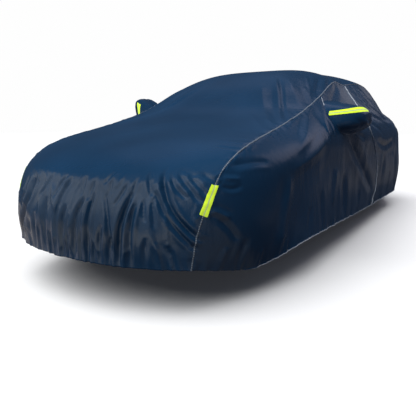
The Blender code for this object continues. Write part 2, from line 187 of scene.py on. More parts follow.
# Creases. Each runs through three points of a flat view of the cloth. A depth above zero is a
# trough with a low swell along each side, and below zero it is a ridge. All in millimetres.
#   x_low, z_low, x_mid, z_mid, x_high, z_high, depth, half_width
FRONT_CREASES = (
    (-540, 200, -385, 495, -335, 650, 26, 24),
    (-600, 240, -510, 410, -400, 610, 13, 17),
    (-640, 300, -600, 450, -540, 600, 12, 14),
    (-430, 180, -400, 300, -380, 400, -6, 16),
    (-290, 180, -270, 320, -262, 480, 11, 14),
    (-182, 180, -172, 400, -164, 570, 16, 24),
    (-54, 300, -55, 540, -10, 680, 15, 11),
    (-104, 180, -105, 300, -110, 400, 9, 10),
    (-12, 180, -8, 400, 2, 545, 20, 12),
    (79, 180, 88, 460, 120, 590, 19, 12),
    (164, 180, 178, 450, 180, 620, 22, 12),
    (325, 300, 296, 500, 242, 630, 12, 10),
    (240, 180, 248, 340, 262, 470, 14, 11),
    (268, 590, 272, 640, 268, 690, 8, 8),
    (320, 560, 344, 620, 362, 670, 8, 8),
    (340, 180, 366, 450, 398, 630, 24, 12),
    (402, 180, 415, 440, 425, 580, 15, 11),
    (492, 610, 470, 670, 442, 725, 11, 9),
    (487, 490, 472, 545, 458, 600, 7, 8),
    (527, 460, 517, 535, 501, 610, 7, 8),
    (715, 385, 583, 565, 500, 750, 23, 11),
    (700, 345, 590, 500, 505, 640, 15, 10),
    (645, 600, 590, 652, 535, 725, 11, 8),
    (700, 580, 637, 658, 565, 730, 12, 8),
    (660, 702, 612, 722, 565, 738, 8, 8),
    (720, 612, 668, 668, 620, 710, 9, 8),
    (750, 660, 710, 692, 665, 724, 8, 8),
    (480, 180, 478, 300, 490, 420, 11, 12),
    (560, 180, 545, 300, 530, 400, -7, 12),
    (620, 190, 600, 290, 580, 380, 12, 12),
    (-72, 500, -115, 570, -160, 640, -6, 14),
    (60, 400, 52, 460, 46, 520, -5, 10),
    (100, 590, 96, 640, 92, 690, 8, 8),
    (158, 570, 156, 620, 160, 670, 9, 8),
    (226, 655, 244, 690, 262, 725, 8, 8),
    (200, 560, 196, 630, 190, 700, -5, 10),
    (-240, 560, -200, 620, -170, 690, 7, 9),
    (-110, 560, -90, 620, -50, 690, 7, 9),
    (40, 600, 60, 650, 75, 710, -4, 9),
    (-330, 520, -300, 590, -290, 660, 7, 9),
    (-480, 470, -450, 560, -430, 650, 8, 10),
    (300, 640, 316, 680, 330, 720, -4, 9),
    (395, 600, 402, 650, 404, 700, 7, 8),
    (440, 440, 446, 520, 452, 600, -5, 10),
    (20, 190, 30, 290, 34, 390, 9, 10),
    (125, 190, 130, 300, 134, 420, 9, 10),
    (205, 190, 212, 280, 222, 380, 9, 10),
    (290, 190, 300, 300, 320, 420, 9, 10),
    (-230, 190, -222, 300, -215, 420, 9, 12),
    (-350, 190, -340, 310, -322, 430, 9, 12),
)
REAR_CREASES = (
    (-600, 200, -540, 480, -450, 730, 16, 34),
    (-470, 180, -450, 330, -430, 480, 9, 18),
    (-380, 180, -350, 420, -330, 600, 12, 20),
    (-270, 180, -255, 400, -230, 640, 14, 26),
    (-160, 180, -160, 290, -150, 420, 8, 16),
    (-80, 180, -70, 380, -80, 560, 10, 18),
    (35, 180, 20, 360, 10, 580, 14, 24),
    (130, 180, 140, 320, 135, 470, 9, 16),
    (215, 180, 205, 380, 190, 560, 9, 17),
    (300, 180, 275, 400, 245, 660, 16, 26),
    (400, 180, 390, 360, 370, 520, 9, 18),
    (500, 180, 470, 360, 460, 500, 10, 18),
    (610, 200, 550, 470, 470, 720, 17, 34),
)
#   y_one, z_one, y_mid, z_mid, y_two, z_two, depth, half_width
SIDE_CREASES = (
    (2940, 1290, 3080, 1245, 3110, 1170, 8, 12),
    (2700, 1240, 2849, 1180, 2940, 1100, 9, 13),
    (2740, 1190, 2800, 1140, 2920, 1070, -7, 13),
    (3060, 1225, 3130, 1155, 3150, 1065, 9, 13),
    (2880, 1110, 3080, 1060, 3270, 990, 9, 14),
    (2780, 1040, 3000, 1000, 3300, 945, -8, 18),
    (2620, 1180, 2690, 1120, 2800, 1040, 7, 13),
    (3180, 1190, 3270, 1100, 3320, 1030, 8, 14),
    (2540, 1260, 2640, 1225, 2740, 1205, -5, 12),
    (2990, 1240, 2970, 1180, 3040, 1120, -7, 13),
    (1780, 880, 2138, 670, 2660, 340, 18, 48),
    (1985, 895, 2100, 862, 2260, 828, 7, 16),
    (835, 660, 765, 430, 742, 230, -12, 34),
    (819, 310, 819, 260, 819, 200, -5, 13),
    (576, 180, 575, 240, 574, 300, -6, 13),
    (1594, 640, 1560, 520, 1520, 380, -8, 42),
    (1380, 1010, 1210, 940, 1060, 870, 7, 17),
    (1300, 1020, 1150, 950, 980, 890, -6, 22),
    (854, 690, 1130, 755, 1420, 850, -7, 30),
    (1586, 1091, 1290, 945, 960, 785, -8, 26),
    (2240, 1262, 2000, 1170, 1760, 1075, 11, 24),
    (1556, 1000, 1553, 930, 1550, 850, -6, 12),
    (2680, 1030, 3016, 985, 3566, 970, 8, 20),
    (2530, 960, 2720, 912, 2900, 868, 7, 16),
    (2660, 800, 3050, 735, 3450, 770, 10, 26),
    (3230, 1320, 3290, 1220, 3330, 1100, 5, 20),
    (2910, 1260, 2860, 1180, 2820, 1090, 5, 18),
    (1060, 210, 1080, 330, 1110, 450, 6, 26),
    (1330, 200, 1300, 350, 1290, 520, 7, 30),
    (1790, 200, 1780, 400, 1740, 600, 10, 46),
    (2230, 190, 2200, 300, 2180, 420, 7, 30),
    (2960, 180, 3000, 380, 3060, 640, 11, 56),
    (3380, 170, 3360, 330, 3370, 480, 8, 34),
    (3740, 170, 3680, 420, 3590, 700, 12, 56),
    (4060, 170, 4080, 360, 4150, 560, 10, 40),
    (3700, 1000, 3900, 900, 4180, 780, 8, 30),
    (3260, 1120, 3700, 1060, 4080, 1000, 32, 80),
    (400, 748, 530, 759, 660, 756, 8, 15),
    (340, 694, 380, 688, 430, 684, -6, 11),
    (320, 655, 370, 640, 430, 650, 6, 11),
    (255, 548, 300, 525, 350, 495, -7, 13),
    (290, 500, 350, 440, 400, 370, 7, 15),
    (325, 200, 335, 280, 345, 350, -7, 15),
    (420, 180, 430, 280, 450, 380, 7, 18),
)
#   x_one, y_one, x_mid, y_mid, x_two, y_two, depth, half_width
UPPER_CREASES = (
    (250, 1700, 433, 1387, 735, 925, -6, 26),
    (320, 1810, 489, 1509, 715, 1070, -6, 17),
    (350, 1815, 520, 1515, 740, 1100, 5, 12),
    (410, 1840, 590, 1575, 715, 1440, -7, 34),
    (590, 1740, 655, 1655, 720, 1560, -5, 16),
    (360, 1300, 550, 1070, 730, 860, -4, 24),
    (580, 2080, 645, 1870, 705, 1680, 7, 20),
    (540, 2380, 635, 2150, 705, 1950, 6, 18),
    (560, 618, 650, 640, 745, 655, 4, 15),
    (600, 500, 680, 508, 745, 522, 4, 10),
    (-250, 1700, -450, 1380, -720, 950, -5, 26),
    (-430, 1800, -600, 1560, -710, 1450, -5, 30),
    (300, 3350, 450, 3650, 640, 4000, -6, 30),
    (-280, 3380, -440, 3660, -650, 4010, -6, 30),
    (120, 3520, 160, 3820, 240, 4150, 5, 36),
    (-500, 4330, -150, 4370, 300, 4340, 5, 30),
    (520, 585, 640, 590, 745, 596, -3, 8),
    (560, 690, 660, 705, 742, 715, 3, 7),
    (490, 800, 620, 775, 740, 760, -3, 8),
    (600, 870, 680, 845, 740, 825, 3, 7),
    (470, 1210, 600, 1120, 730, 1010, -3, 9),
    (560, 1350, 650, 1260, 722, 1170, 3, 8),
    (500, 1470, 610, 1370, 718, 1260, -3, 8),
    (500, 1990, 600, 1800, 700, 1610, -4, 10),
)
WHOLE = (1.5, 0.2)       # a crease's depth is times (gain * how far the cloth faces its view - loss)
SIDE_LOSS = 0.1          # more loss for the sides' creases
PATH_STEPS = 12
PINCH = 1.15             # 2 is a round trough, and less has a sharper bottom
SWELL_PLACE = 2.0        # where the swells beside a crease stand, in half widths
SWELL_SHARE = 0.34       # their height as a share of the depth
REACH = 4.5              # half widths out from its path at which a crease has ended
FADE = 1.2               # above 1, so it keeps its depth until near its ends


def creased(flat, creases):
    """Sum of the creases' depths in metres. Across, a crease is exp(-o ** PINCH) less a swell of
    SWELL_SHARE * exp(-(o - SWELL_PLACE) ** 2) on each side, where o is the distance from its path in
    half widths. Along, it is FADE * (1 - |e| ** 3), and at most 1, with e from -1 to 1."""
    total = np.zeros(flat.shape[:-1])
    for one_u, one_v, mid_u, mid_v, two_u, two_v, depth, half in creases:
        posts = np.array([(one_u, one_v), (mid_u, mid_v), (two_u, two_v)]) / 1000
        path = curve_through(posts, np.linspace(0, 2, PATH_STEPS + 1))
        reach = REACH * half / 1000
        box = np.all((flat > path.min(0) - reach) & (flat < path.max(0) + reach), -1)
        near = flat[box][:, None]
        run = np.diff(path, axis=0)
        share = np.clip(((near - path[:-1]) * run).sum(-1) / (run * run).sum(-1), 0, 1)
        gap = np.linalg.norm(near - path[:-1] - share[..., None] * run, axis=-1)
        piece = np.argmin(gap, 1)
        along = (piece + np.take_along_axis(share, piece[:, None], 1)[:, 0]) / PATH_STEPS
        off = gap.min(1) / (half / 1000)
        swell = np.exp(-(off - SWELL_PLACE) ** 2)
        ends = np.clip(FADE - np.abs(2 * along - 1) ** 3 * FADE, 0, 1)
        total[box] += depth / 1000 * ends * (np.exp(-off ** PINCH) - SWELL_SHARE * swell)
    return total


def ripple(at, seed):
    """Smooth uneven wave along a line: numbers from -1 to 1 at the whole steps, eased between."""
    values = np.random.default_rng(seed).uniform(-1, 1, int(np.max(at)) + 3)
    low = np.floor(at).astype(int)
    part = at - low
    part = part * part * (3 - 2 * part)
    return values[low] * (1 - part) + values[low + 1] * part


def blotch(u, v, seed):
    """The same in two directions, eased between the corners of a lattice."""
    u, v = u - u.min(), v - v.min()
    values = np.random.default_rng(seed).uniform(-1, 1, (int(u.max()) + 3, int(v.max()) + 3))
    i, j = np.floor(u).astype(int), np.floor(v).astype(int)
    a, b = u - i, v - j
    a, b = a * a * (3 - 2 * a), b * b * (3 - 2 * b)
    return ((values[i, j] * (1 - b) + values[i, j + 1] * b) * (1 - a)
            + (values[i + 1, j] * (1 - b) + values[i + 1, j + 1] * b) * a)


PUCKER = (0.0022, 0.024, 0.040)       # at seams: depth, spacing, and how far it reaches
GATHER = (0.0048, 0.020, 0.055)       # the same at the hem, drawn up by its elastic
GATHER_FALL = 1.5                     # power at which gathers fall off, 2 for puckers
GATHER_SLOW = (0.6, 0.055)            # a slower wave under the gathers: share of their depth, spacing
SLACK = (0.0028, 0.090, 0.260)        # slow waves in the cloth: depth, width and length
PLEAT = (0.0065, 0.038, 0.260)        # fine upright pleats: height, width and length
PLEAT_LEAN = 0.12                     # metres sideways for each metre down
TAUT = (0.25, 0.120)                  # share of a crease left at the taut hem, and how far up that goes
CALM = 0.02                           # waves and pleats start this far from a seam
STEEP = (1.2, 1.6, 0.15)              # share of waves: start - slope * |upward normal|, at least the third
ENDWISE = (-0.5, -1.6, 0.12)          # share of pleats: the same with |normal along the car|
SEEDS = {"seam": 0, "hem": 20, "slow hem": 30, "slack": 50, "pleat": 60}       # added to a net's own
NET_SEEDS = (11, 111, 211)            # the top's, the left side's and the right side's


def facing(towards):
    """Share of a crease's depth where the cloth faces its view by a cosine."""
    return np.clip(WHOLE[0] * towards - WHOLE[1], 0, 1)


def loosened(net, normal, seams, hems, seed):
    """The net moved along its normals by the sum of its creases, its puckers at seams and gathers at
    hems, which fall off as exp(-(distance / reach) ** power), and its slow waves and pleats, which
    are fullest where the cloth stands upright."""
    depth = facing(-normal[..., 1]) * creased(net[..., (0, 2)], FRONT_CREASES)
    depth += facing(normal[..., 1]) * creased(net[..., (0, 2)], REAR_CREASES)
    depth += facing(np.abs(normal[..., 0]) - SIDE_LOSS) * creased(net[..., (1, 2)], SIDE_CREASES)
    for distance, _ in hems:
        depth *= TAUT[0] + (1 - TAUT[0]) * np.clip(distance / TAUT[1], 0, 1)
    depth += facing(normal[..., 2]) * creased(net[..., (0, 1)], UPPER_CREASES)
    calm = np.ones(depth.shape)
    for number, (distance, along) in enumerate(seams):
        close = np.exp(-(distance / PUCKER[2]) ** 2)
        depth += PUCKER[0] * ripple(along / PUCKER[1], seed + SEEDS["seam"] + number) * close
        calm = np.minimum(calm, np.clip(distance / CALM, 0, 1))
    for number, (distance, along) in enumerate(hems):
        close = np.exp(-(distance / GATHER[2]) ** GATHER_FALL)
        wave = ripple(along / GATHER[1], seed + SEEDS["hem"] + number)
        wave = wave + GATHER_SLOW[0] * ripple(along / GATHER_SLOW[1], seed + SEEDS["slow hem"])
        depth += GATHER[0] * wave * close
    upright = np.clip(STEEP[0] - np.abs(normal[..., 2]) * STEEP[1], STEEP[2], 1)
    across = net[..., 0] * np.abs(normal[..., 1]) + net[..., 1] * np.abs(normal[..., 0])
    slow = blotch(across / SLACK[1], net[..., 2] / SLACK[2], seed + SEEDS["slack"])
    lean = across + PLEAT_LEAN * net[..., 2]
    pleat = (1 - np.abs(blotch(lean / PLEAT[1], net[..., 2] / PLEAT[2], seed + SEEDS["pleat"]))) ** 4
    ends = np.clip(ENDWISE[0] - np.abs(normal[..., 1]) * ENDWISE[1], ENDWISE[2], 1)
    depth += calm * upright * (SLACK[0] * slow - PLEAT[0] * ends * pleat)
    return net - depth[..., None] * normal


side_right = side * (-1, 1, 1)
normals = [net_normals(top), net_normals(side), net_normals(side_right, -1)]
for normal, column in ((normals[1], -1), (normals[2], 0)):
    shared = unit(normals[0][:, column] + normal[SEAM_ON_SIDE])
    normals[0][:, column] = shared
    normal[SEAM_ON_SIDE] = shared
along_seam = lengths(seam[:, None], 0)
along_top = np.broadcast_to(along_seam, top.shape[:2])
across_hem = lengths(top, 1)
top = loosened(top, normals[0],
               [(from_seam, along_top), (from_seam[:, ::-1], along_top)],
               [(lengths(top, 0), across_hem), (lengths(top[::-1], 0)[::-1], across_hem)], NET_SEEDS[0])
from_hem = lengths(side[:, ::-1], 1)[:, ::-1]
down_edge = lengths(side, 1)
along_hem = lengths(side, 0)
UPRIGHT = POCKET_ROWS[1]
from_upright = np.abs(along_hem - along_hem[UPRIGHT])
sides = []
for net, normal, seed, column in ((side, normals[1], NET_SEEDS[1], -1),
                                  (side_right, normals[2], NET_SEEDS[2], 0)):
    seams = [(from_top, along_hem + 1.0), (from_front, down_edge), (from_rear, down_edge),
             (from_upright, down_edge)]
    net = loosened(net, normal, seams, [(from_hem, along_hem)], seed)
    net[SEAM_ON_SIDE] = top[:, column]
    sides.append(net)

# ---------------------------------------------------------------- top panel
# One length of taffeta from the front hem over bonnet, roof and boot to the rear hem. Its hem is
# turned in over elastic, which draws the cloth under the bumpers.


def linear(code, alpha=1.0):
    """sRGB hex colour as linear numbers."""
    parts = np.array([int(code[k:k + 2], 16) for k in (1, 3, 5)]) / 255
    parts = np.where(parts <= 0.04045, parts / 12.92, ((parts + 0.055) / 1.055) ** 2.4)
    return (*parts.tolist(), alpha)


def add_node(tree, kind, settings=None, links=None, **values):
    """Add a node, set its own settings and its sockets' values, and link its sockets."""
    node = tree.nodes.new(kind)
    for name, value in (settings or {}).items():
        setattr(node, name, value)
    for name, value in values.items():
        node.inputs[name.replace("_", " ")].default_value = value
    for name, source in (links or {}).items():
        tree.links.new(source, node.inputs[name])
    return node


def new_material(name):
    """Material with its node tree and its Principled shader."""
    made = bpy.data.materials.new(name)
    made.use_nodes = True
    return made, made.node_tree, made.node_tree.nodes["Principled BSDF"]


MIX_A, MIX_B, MIX_COLOUR = 6, 7, 2      # the Mix node's two colour inputs and its colour output

# Taffeta: plain weave of fine polyester filament, dyed navy, with a thin clear coating. It gives a
# broad, silky highlight, and small crinkles where it was packed. A thread is 0.2 mm, too fine to show,
# so the weave is drawn at 3 mm.
cloth, tree, shader = new_material("coated_taffeta_navy")
shader.inputs["Roughness"].default_value = 0.27
shader.inputs["IOR"].default_value = 1.50
shader.inputs["Specular IOR Level"].default_value = 0.40
place = add_node(tree, "ShaderNodeTexCoord").outputs["Object"]
broad = add_node(tree, "ShaderNodeTexNoise", links={"Vector": place}, Scale=1.6, Detail=2.0)
tone = add_node(tree, "ShaderNodeValToRGB", links={"Fac": broad.outputs["Fac"]})
tone.color_ramp.elements[0].position = 0.30
tone.color_ramp.elements[0].color = linear("#10304c")
tone.color_ramp.elements[1].position = 0.70
tone.color_ramp.elements[1].color = linear("#163a5a")
hem_row = add_node(tree, "ShaderNodeAttribute", {"attribute_name": "sewn"})
thread = add_node(tree, "ShaderNodeMapRange", links={"Value": hem_row.outputs["Fac"]},
                  From_Min=0.45, From_Max=0.85)
sewn_tone = add_node(tree, "ShaderNodeMix", {"data_type": "RGBA"},
                     {0: thread.outputs[0], MIX_A: tone.outputs["Color"]})
sewn_tone.inputs[MIX_B].default_value = linear("#ccd0d6")
tree.links.new(sewn_tone.outputs[MIX_COLOUR], shader.inputs["Base Color"])
stretched = add_node(tree, "ShaderNodeMapping", links={"Vector": place}, Scale=(1.0, 1.0, 0.45))
crinkle = add_node(tree, "ShaderNodeTexNoise", links={"Vector": stretched.outputs["Vector"]},
                   Scale=38.0, Detail=3.0, Roughness=0.55)
weave = add_node(tree, "ShaderNodeTexNoise", links={"Vector": place}, Scale=330.0, Detail=1.0)
soft_bump = add_node(tree, "ShaderNodeBump", links={"Height": crinkle.outputs["Fac"]},
                     Strength=0.35, Distance=0.004)
# Fine drag lines, about 18 mm apart and ten times as long, run down the gathered front and rear.
hanging = add_node(tree, "ShaderNodeMapping", links={"Vector": place}, Scale=(1.0, 1.0, 0.10))
drag = add_node(tree, "ShaderNodeTexNoise", links={"Vector": hanging.outputs["Vector"]},
                Scale=55.0, Detail=2.0, Roughness=0.6, Distortion=0.4)
lie = add_node(tree, "ShaderNodeNewGeometry")
facing_way = add_node(tree, "ShaderNodeSeparateXYZ", links={"Vector": lie.outputs["Normal"]})
endwise = add_node(tree, "ShaderNodeMath", {"operation": "ABSOLUTE"}, {0: facing_way.outputs["Y"]})
steep = add_node(tree, "ShaderNodeMapRange", links={"Value": endwise.outputs[0]},
                 From_Min=0.55, From_Max=0.85)
drag_lines = add_node(tree, "ShaderNodeMath", {"operation": "MULTIPLY"}, {0: drag.outputs["Fac"],
                                                                          1: steep.outputs[0]})
drag_bump = add_node(tree, "ShaderNodeBump", links={"Height": drag_lines.outputs[0],
                                                    "Normal": soft_bump.outputs["Normal"]},
                     Strength=0.22, Distance=0.005)
fine_bump = add_node(tree, "ShaderNodeBump", links={"Height": weave.outputs["Fac"],
                                                    "Normal": drag_bump.outputs["Normal"]},
                     Strength=0.12, Distance=0.0006)
tree.links.new(fine_bump.outputs["Normal"], shader.inputs["Normal"])


def sheet_piece(name, net, finish, turned=False, hole=None, uv=None, sewn=None):
    """A net as a smooth mesh of quads, facing outwards, without the hole's cells. Its attribute
    "sewn" is 1 where pale thread shows."""
    rows, columns = net.shape[:2]
    corner = np.arange(rows * columns).reshape(rows, columns)
    quads = np.stack([corner[:-1, :-1], corner[1:, :-1], corner[1:, 1:], corner[:-1, 1:]], -1)
    keep = np.ones(quads.shape[:2], bool)
    if hole:
        keep[hole] = False
    quads = quads[keep]
    if turned:
        quads = quads[:, ::-1]
    used, numbers = np.unique(quads, return_inverse=True)
    points = net.reshape(-1, 3)[used] - HANG_POINT
    mesh = bpy.data.meshes.new(name)
    mesh.from_pydata(points.tolist(), [], numbers.reshape(quads.shape).tolist())
    if uv is not None:
        layer = mesh.uv_layers.new(name="tape")
        layer.data.foreach_set("uv", uv.reshape(-1, 2)[quads.ravel()].astype(np.float32).ravel())
    if sewn is not None:
        mesh.attributes.new("sewn", "FLOAT", "POINT").data.foreach_set("value", sewn.ravel()[used])
    mesh.shade_smooth()
    mesh.materials.append(finish)
    piece = bpy.data.objects.new(name, mesh)
    bpy.context.scene.collection.objects.link(piece)
    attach(piece, "root")
    return piece


# Rows past an edge: down, in, and for a beaded hem more down, and out.
HEM = ((0.0004, 0.0004, -0.0010, 0.0044),
       (0.0012, 0.0016, 0.0020, 0.0066),
       (0.0012, 0.0036, 0.0040, 0.0056),
       (-0.0060, 0.0060, 0.0, 0.0),
       (-0.0160, 0.0062, 0.0, 0.0))
HEM_START = 3            # lines in from the edge at which its direction is taken


def turned_hem(edge, inner, normal, beaded=0.0):
    """Rows added past an edge, each further down and in by HEM's metres. Where the hem is beaded, by a
    share from 0 to 1, it first stands out as a small roll."""
    down = unit(edge - inner)
    return [edge + (fall + beaded * more) * down - (depth - beaded * out) * normal
            for fall, depth, more, out in HEM]


top_normals = net_normals(top)
front_hem = turned_hem(top[0], top[HEM_START], top_normals[0])
rear_hem = turned_hem(top[-1], top[-1 - HEM_START], top_normals[-1])
top_cloth = sheet_piece("top_cloth", np.array(front_hem[::-1] + list(top) + rear_hem), cloth)
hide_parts("top_panel")

# ---------------------------------------------------------------- side panels
# Two panels a side, sewn together at the upright seam behind the mirror pocket. The front one is cut
# out for the pocket. Both hang from the long seam, with the same turned hem on elastic.
HEM_LINE = (0.46, 0.14)      # the pale thread and bead along the hem start here, and fade in over this
BEADED_ROWS = slice(DOWN + 1, DOWN + 4)
for name, net, turned in (("left", sides[0], False), ("right", sides[1], True)):
    normal = net_normals(net, -1 if turned else 1)
    corded = np.clip((net[:, -1, 1:2] - HEM_LINE[0]) / HEM_LINE[1], 0, 1)
    hem = turned_hem(net[:, -1], net[:, -1 - HEM_START], normal[:, -1], corded)
    whole = np.concatenate([net, np.stack(hem, 1)], 1)
    hole = (slice(*POCKET_ROWS), slice(0, POCKET_DEPTH))
    threaded = np.zeros(whole.shape[:2])
    threaded[:, BEADED_ROWS] = corded
    for part, rows, gap in (("front", slice(UPRIGHT + 1), hole), ("rear", slice(UPRIGHT, None), None)):
        piece = sheet_piece("side_cloth_" + part + "_" + name, whole[rows], cloth, turned, gap,
                            sewn=threaded[rows])
        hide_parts("side_" + part + "_" + name)

# ---------------------------------------------------------------- mirror pockets
# A loose gore of the same taffeta between the short front seam and the upright seam, which stands
# out as an ear for the door mirror. The right one has turned up.
#         y      z      out    lift   front  rear   above  below
POCKETS = {
    "left": (1.870, 0.985, 1.050, 0.000, 0.270, 0.270, 0.122, 0.110),
    "right": (1.760, 1.020, 1.035, 0.100, 0.215, 0.165, 0.085, 0.120),
}
EAR_SQUARE = 3.0         # how square the ear's outline is (2 is an ellipse)
EAR_REACH = 1.02         # the outline is where the superellipse's sum is this
EAR_EDGE = 0.04          # how gently the ear rises from it: less is steeper
BROW = (1.570, 1.028, 0.09, 0.040)       # the strip's upper edge: start y, z, rise; strip's height
EAR_LIFT = ((0.0, 0.15, 0.30, 0.50, 0.70, 0.85, 1.0),      # share of the lift, by share of the dome
            (0.0, -0.30, -0.10, 0.55, 0.92, 0.94, 0.82))
EAR_ROWS = 96
EAR_EASE = 9             # rows at each end over which the lines pass into the panel's own
# The ears' own creases, as the sides' are: y_one, z_one, y_mid, z_mid, y_two, z_two, depth, half_width.
EAR_CREASES = (
    (1690, 985, 1760, 935, 1790, 885, 7, 12),
    (1770, 975, 1850, 940, 1950, 925, -6, 13),
    (1860, 985, 1900, 950, 1905, 890, 6, 11),
    (1930, 1010, 1990, 965, 2020, 905, 8, 13),
    (1650, 945, 1700, 915, 1760, 895, -5, 11),
    (1800, 925, 1850, 905, 1930, 900, 5, 9),
    (1720, 1095, 1790, 1075, 1880, 1080, 5, 12),
    (1850, 1110, 1930, 1085, 2040, 1090, -4, 12),
)
# An ear's lines: 0 is the long seam, 1 the strip's upper edge, 2 its lower edge, 3 the gore's lower end.
EAR_LINES = np.concatenate([np.linspace(0, 1, 17), np.linspace(1, 2, 9)[1:], np.linspace(2, 3, 27)[1:]])


def at_lines(net, places):
    """The net's points at line numbers that may lie between two lines."""
    places = np.asarray(places, float)
    low = np.minimum(places.astype(int), len(net) - 2)
    part = (places - low).reshape((-1,) + (1,) * (net.ndim - 1))
    return net[low] * (1 - part) + net[low + 1] * part


def pocket_net(panel, size):
    """The gore, moved out and up by a blunt dome, rise * rise / (rise + EAR_EDGE), where rise is
    EAR_REACH - |y / half_y| ** EAR_SQUARE - |z / half_z| ** EAR_SQUARE. With it, how far each point
    was above the strip's upper edge before it was lifted."""
    middle_y, middle_z, out, lift, front, rear, above, below = size
    gore = panel[POCKET_ROWS[0]:POCKET_ROWS[1] + 1, :POCKET_DEPTH + 1]
    steps = np.linspace(0, 1, EAR_ROWS + 1) * (POCKET_ROWS[1] - POCKET_ROWS[0])
    rows = []
    for row in at_lines(gore, steps):
        middle = row[POCKET_DEPTH // 3]
        brow = BROW[1] + BROW[2] * (middle[1] - BROW[0])
        edges = np.interp((-brow, BROW[3] - brow), -row[:, 2], np.arange(len(row)))
        rows.append(at_lines(row, np.interp(EAR_LINES, range(4), (0, *edges, POCKET_DEPTH))))
    net = np.array(rows)
    natural = np.linspace(0, POCKET_DEPTH, len(EAR_LINES))
    for end, first, last in ((slice(EAR_EASE), 1, 0), (slice(-EAR_EASE, None), 0, 1)):
        share = np.linspace(first, last, EAR_EASE)[:, None, None]
        plain = np.stack([at_lines(row, natural) for row in at_lines(gore, steps[end])])
        net[end] = net[end] * (1 - share) + plain * share
    off_y, off_z = net[..., 1] - middle_y, net[..., 2] - middle_z
    half_y = np.where(off_y < 0, front, rear)
    half_z = np.where(off_z < 0, below, above)
    ring = np.abs(off_y / half_y) ** EAR_SQUARE + np.abs(off_z / half_z) ** EAR_SQUARE
    rise = np.clip(EAR_REACH - ring, 0, 1)
    dome = rise * rise / (rise + EAR_EDGE)
    dome[[0, -1]] = 0
    dome[:, [0, -1]] = 0
    right = np.sign(net[0, 0, 0])
    above_brow = net[..., 2] - BROW[1] - BROW[2] * (net[..., 1] - BROW[0])
    net[..., 0] += dome * (out * right - net[..., 0])
    net[..., 0] -= dome * right * creased(net[..., (1, 2)], EAR_CREASES)
    net[..., 2] += lift * np.interp(dome, *EAR_LIFT)
    return net, above_brow


pockets = {}
for name, net, turned in (("left", sides[0], False), ("right", sides[1], True)):
    ear, above_brow = pocket_net(net, POCKETS[name])
    pockets[name] = ear, above_brow
    piece = sheet_piece("mirror_pocket_cloth_" + name, ear, cloth, turned)
    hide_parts("mirror_pocket_" + name)

# ---------------------------------------------------------------- seam bindings
# The seams are bound with light grey polyester tape 10 mm wide, folded over the edges and sewn
# through, so it draws up into small puckers between the stitches.
TAPE_HALF = 0.0040
TAPE_LINES = 7
TAPE_STEP = 0.004
TAPE_EDGE = 0.0006       # height of the tape's edges over the cloth
TAPE_RISE = 0.0022       # height of its middle over them
STANDING = 0.0065        # the same on the upright seam, whose edges stand out from the cloth
STITCH = 0.012
DRAWN = (0.25, 0.2, 0.020)       # share of the height that stitches take up, uneven share and spacing
TAPE_SEED = 3
PALE = {"long": 0.0, "upright": 0.6, "gusset": 0.6}      # share of bare pale thread
PAINTED_SHADE_SPAN = (3.05, 3.25)      # metres along the long seam over which its tape fades into painted shade, a dull dark grey-blue
GUSSET_LINES = {"left": slice(2, 13), "right": slice(2, 14)}
binding, tree, shader = new_material("woven_polyester_tape_grey")
shader.inputs["Roughness"].default_value = 0.62
shader.inputs["Sheen Weight"].default_value = 0.15
tape_uv = add_node(tree, "ShaderNodeUVMap", {"uv_map": "tape"}).outputs["UV"]
apart = add_node(tree, "ShaderNodeSeparateXYZ", links={"Vector": tape_uv})
stitches = add_node(tree, "ShaderNodeMath", {"operation": "PINGPONG"}, {0: apart.outputs["X"]})
stitches.inputs[1].default_value = STITCH / 2
between = add_node(tree, "ShaderNodeMapRange", links={"Value": stitches.outputs[0]}, From_Max=STITCH / 2)
stitched = add_node(tree, "ShaderNodeMix", {"data_type": "RGBA"}, {0: between.outputs[0]})
stitched.inputs[MIX_A].default_value = linear("#3a4452")
stitched.inputs[MIX_B].default_value = linear("#7f8b99")
# Painted shade: towards the rear, the long seam's tape is painted a dull dark grey-blue where it runs into
# shade.
behind = add_node(tree, "ShaderNodeMapRange", links={"Value": apart.outputs["X"]},
                  From_Min=PAINTED_SHADE_SPAN[0], From_Max=PAINTED_SHADE_SPAN[1])
painted_shade_tone = add_node(tree, "ShaderNodeMix", {"data_type": "RGBA"},
                {0: behind.outputs[0], MIX_A: stitched.outputs[MIX_COLOUR]})
painted_shade_tone.inputs[MIX_B].default_value = linear("#2c3542")
bare = add_node(tree, "ShaderNodeAttribute", {"attribute_name": "sewn"})
pale = add_node(tree, "ShaderNodeMix", {"data_type": "RGBA"},
                {0: bare.outputs["Fac"], MIX_A: painted_shade_tone.outputs[MIX_COLOUR]})
pale.inputs[MIX_B].default_value = linear("#ccd4de")
tree.links.new(pale.outputs[MIX_COLOUR], shader.inputs["Base Color"])


def tape_along(line, one_side, other_side, rise):
    """A low arch over a line of the cloth. Each half leans on its own side's cloth, and its height
    is rise * (1 - v ** 2) for v from -1 to 1 across, drawn in at the stitches, above its edges'."""
    reach = lengths(line[:, None], 0)[:, 0]
    at = np.linspace(0, reach[-1], int(reach[-1] / TAPE_STEP) + 1)
    fetch = np.interp(at, reach, np.arange(len(line)))
    line, one_side, other_side = (at_lines(part, fetch) for part in (line, one_side, other_side))
    out = unit(np.cross(np.gradient(line, axis=0), other_side - one_side))
    pucker = 1 - DRAWN[0] + DRAWN[0] * np.cos(2 * np.pi * at / STITCH)
    pucker = pucker + DRAWN[1] * ripple(at / DRAWN[2], TAPE_SEED)
    places, uvs = [], []
    for v in np.linspace(-1, 1, TAPE_LINES):
        towards = unit((one_side if v < 0 else other_side) - line)
        above = unit(out - (out * towards).sum(-1, keepdims=True) * towards)
        height = (TAPE_EDGE + rise * (1 - v * v) * pucker)[:, None]
        places.append(line + abs(v) * TAPE_HALF * towards
                      + height * (above * abs(v) + out * (1 - abs(v))))
        uvs.append(np.stack([at, np.full(len(at), v * TAPE_HALF)], -1))
    return np.stack(places, 1), np.stack(uvs, 1)


